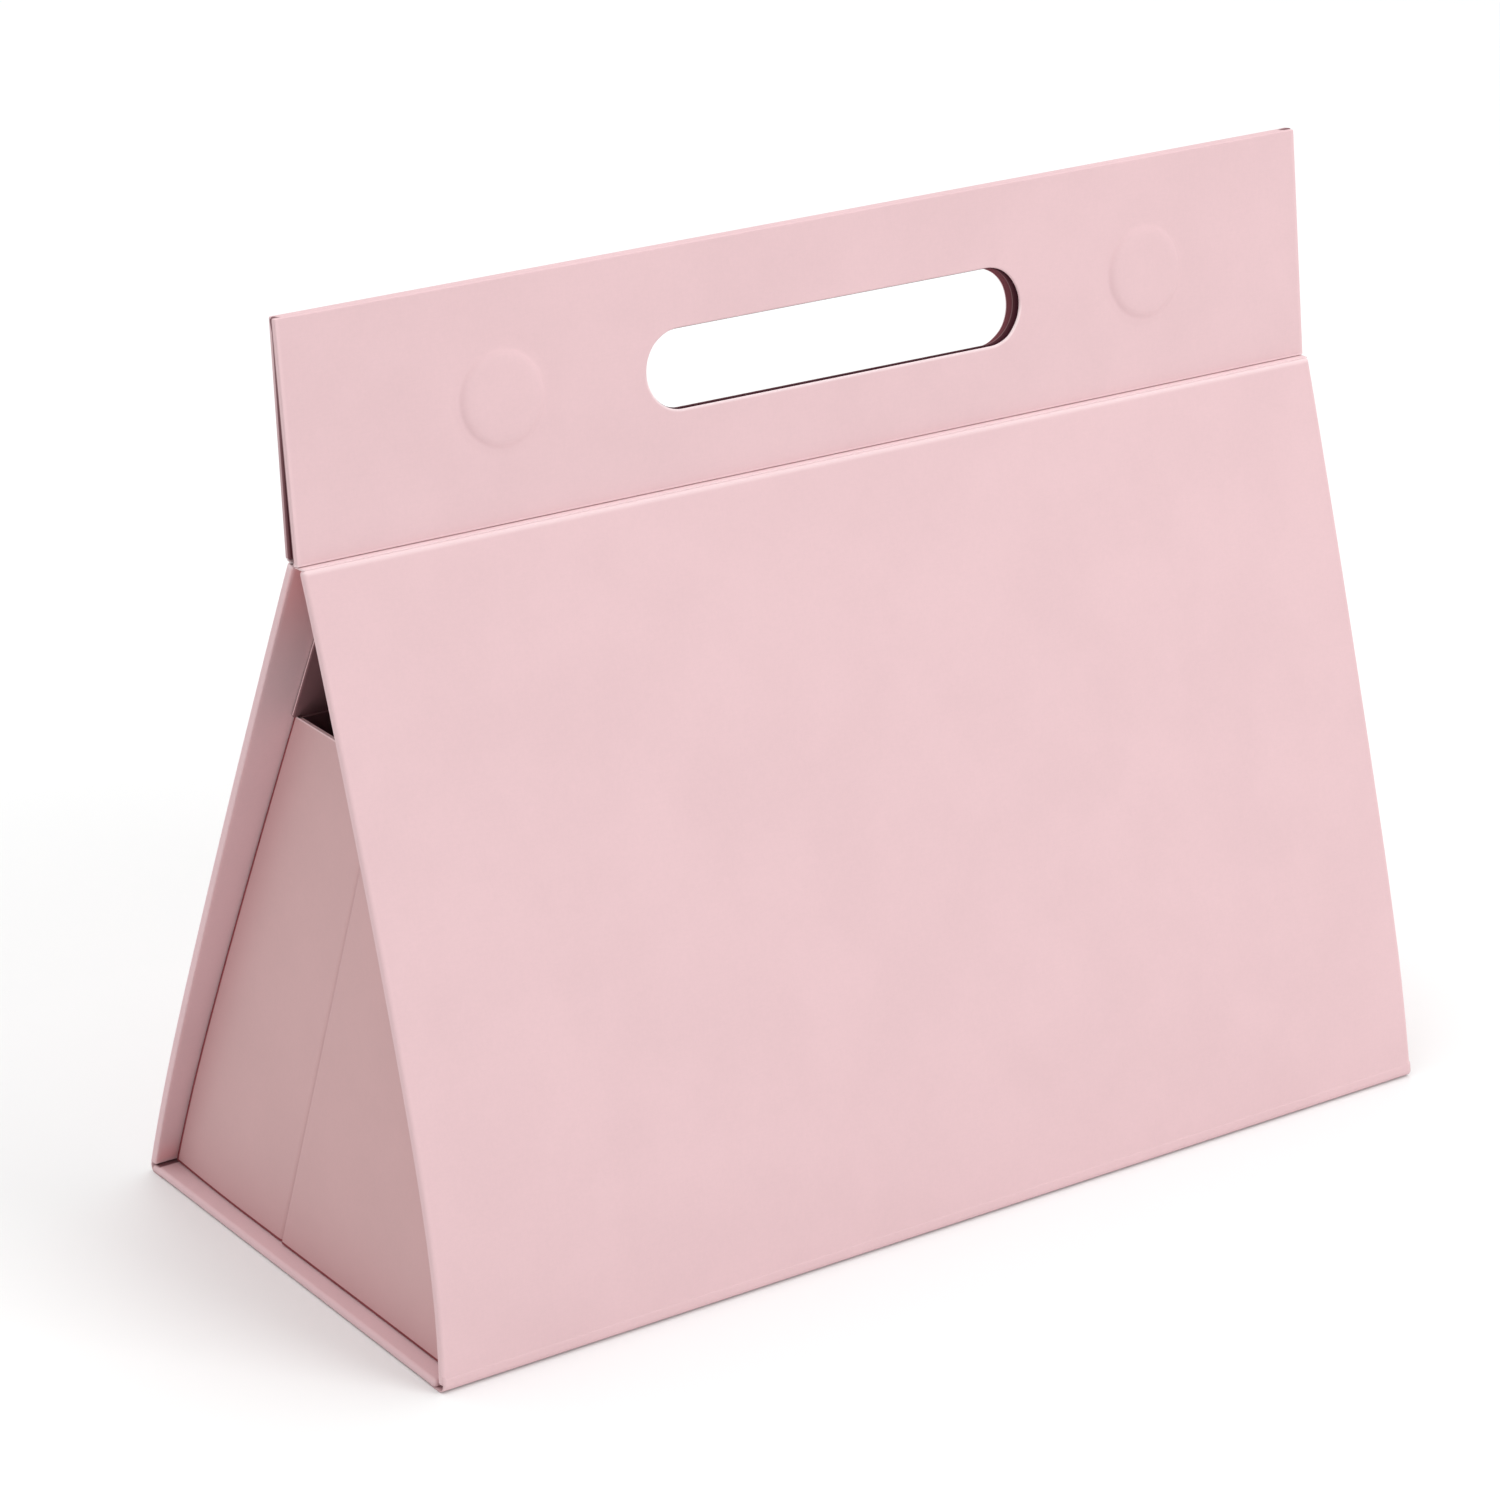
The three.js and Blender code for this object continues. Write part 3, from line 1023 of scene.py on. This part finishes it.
def foot_profile(side):
    """Under the base's edge, round the corner and a little way up the wall's face."""
    reach = FOOT_RADIUS / math.tan((math.pi / 2 - LEAN) / 2)
    y0 = BOX_D / 2 - reach
    z0 = FOOT_RADIUS + PAPER_LIFT
    points = [(BOX_D / 2 - inward, PAPER_LIFT) for inward in UNDER_BASE]
    for i in range(FOOT_TURNS + 1):
        turn = -math.pi / 2 + (math.pi / 2 + LEAN) * i / FOOT_TURNS
        points.append((y0 + FOOT_RADIUS * math.cos(turn), z0 + FOOT_RADIUS * math.sin(turn)))
    for up, over in UP_WALL:
        y = BOX_D / 2 - up * math.sin(LEAN) + over * math.cos(LEAN)
        points.append((y, up * math.cos(LEAN) + over * math.sin(LEAN)))
    return [(side * y, z) for y, z in points]


def neck_profile(side):
    """From the middle of the wall's top face, through the groove, to under the flap."""
    foot = flap_foot(side)

    def on_wall(inside, out):
        y = NECK_D / 2 - inside * math.cos(LEAN) + out * math.sin(-LEAN)
        return (side * y, NECK_H - inside * math.sin(LEAN) + out * math.cos(LEAN))

    def under_flap(depth, down):
        _, y, z = handle_point(0, foot - down, side * depth)
        return (y, z)

    start = on_wall(0.35, 0.05)
    low = on_wall(0.9, 0.15)
    high = under_flap(BOARD_FAR - 0.2, 0.12)
    end = under_flap(BOARD_NEAR + 0.3, 0.06)
    middle = ((low[0] + high[0]) / 2, (low[1] + high[1]) / 2)
    return [start, low, middle, high, end]


for label, side in (("front", -1), ("back", 1)):
    points, faces = strip_mesh(foot_profile(side), side, True)
    body = None if side < 0 else "case"
    foot_fold = make_piece(
        f"{label}_foot_fold", points, faces, body, [], [wrap_paper]
    )
    if side < 0:
        low = (0, (3 - BOX_D / 2) * MM, 0)
        high = (0, (0.2 - BOX_D / 2) * MM, 2.2 * MM)
        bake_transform(foot_fold)
    points, faces = strip_mesh(neck_profile(side), side, False)
    neck_fold = make_piece(
        f"{label}_neck_fold", points, faces, None, [], [wrap_paper]
    )
    profile = neck_profile(side)
    low = (0, profile[1][0] * MM, profile[1][1] * MM)
    high = (0, profile[3][0] * MM, profile[3][1] * MM)
    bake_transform(neck_fold)

# Studio: a pale floor that runs out into a white room, a large soft lamp at the right and
# above, and the camera in front of the left corner, a little above the box.
floor_mesh = bpy.data.meshes.new("studio_floor")
FLOOR_HALF = 30.0
floor_corners = [(-1, -1), (1, -1), (1, 1), (-1, 1)]
floor_mesh.from_pydata(
    [(x * FLOOR_HALF, y * FLOOR_HALF, 0) for x, y in floor_corners], [], [(0, 1, 2, 3)]
)
studio_floor = bpy.data.objects.new("studio_floor", floor_mesh)
bpy.context.scene.collection.objects.link(studio_floor)
floor_material, floor_shader, floor_place = new_material("studio_white")
floor_tone = floor_place.node("ShaderNodeTexNoise", {}, {"Vector": floor_place, "Scale": 3.0})
floor_colour = blend_colours(floor_tone, (0.878, 0.888, 0.885, 1), (0.893, 0.903, 0.9, 1))
floor_place.tree.links.new(floor_colour.socket, floor_shader.inputs["Base Color"])
floor_shader.inputs["Roughness"].default_value = 0.9
floor_shader.inputs["Specular IOR Level"].default_value = 0.1
floor_mesh.materials.append(floor_material)
studio_floor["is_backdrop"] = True

world = bpy.data.worlds.new("white_room")
bpy.context.scene.world = world
world.use_nodes = True
room = world.node_tree.nodes["Background"]
room.inputs["Color"].default_value = (1.0, 1.0, 1.0, 1)
room.inputs["Strength"].default_value = 0.5
bpy.context.scene.view_settings.view_transform = "Standard"


def soft_lamp(name, place, aim, size, power):
    """A white panel lamp that points at a place."""
    lamp = bpy.data.lights.new(name, "AREA")
    lamp.shape = "RECTANGLE"
    lamp.size, lamp.size_y = size
    lamp.energy = power
    holder = bpy.data.objects.new(name, lamp)
    holder.location = place
    holder.rotation_mode = "QUATERNION"
    holder.rotation_quaternion = (Vector(aim) - Vector(place)).to_track_quat("-Z", "Y")
    bpy.context.scene.collection.objects.link(holder)


soft_lamp("key_lamp", (0.9, -1.7, 1.3), (0, 0, 0.1), (1.2, 1.0), 18)
soft_lamp("top_lamp", (-0.1, 0.7, 2.4), (-0.1, 0.7, 0), (4.0, 4.0), 64)

VIEW_AZIMUTH = math.radians(-37.845)
VIEW_HEIGHT = math.radians(22.785)
VIEW_ROLL = math.radians(2.598)
camera_data = bpy.data.cameras.new("camera")
camera_data.lens = 119.209
camera_data.sensor_width = 36
camera_data.clip_end = 50
camera = bpy.data.objects.new("camera", camera_data)
camera.location = (-0.626147, -0.781408, 0.510912)
back = Vector(
    (
        math.sin(VIEW_AZIMUTH) * math.cos(VIEW_HEIGHT),
        -math.cos(VIEW_AZIMUTH) * math.cos(VIEW_HEIGHT),
        math.sin(VIEW_HEIGHT),
    )
)
level = (-back).to_track_quat("-Z", "Y").to_matrix().to_4x4()
camera.rotation_mode = "QUATERNION"
camera.rotation_quaternion = (level @ Matrix.Rotation(VIEW_ROLL, 4, "Z")).to_quaternion()
bpy.context.scene.collection.objects.link(camera)
bpy.context.scene.camera = camera

boxes = {"cad": cad_box, "visual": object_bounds()}
{key: [list(low), list(high)] for key, (low, high) in boxes.items()}
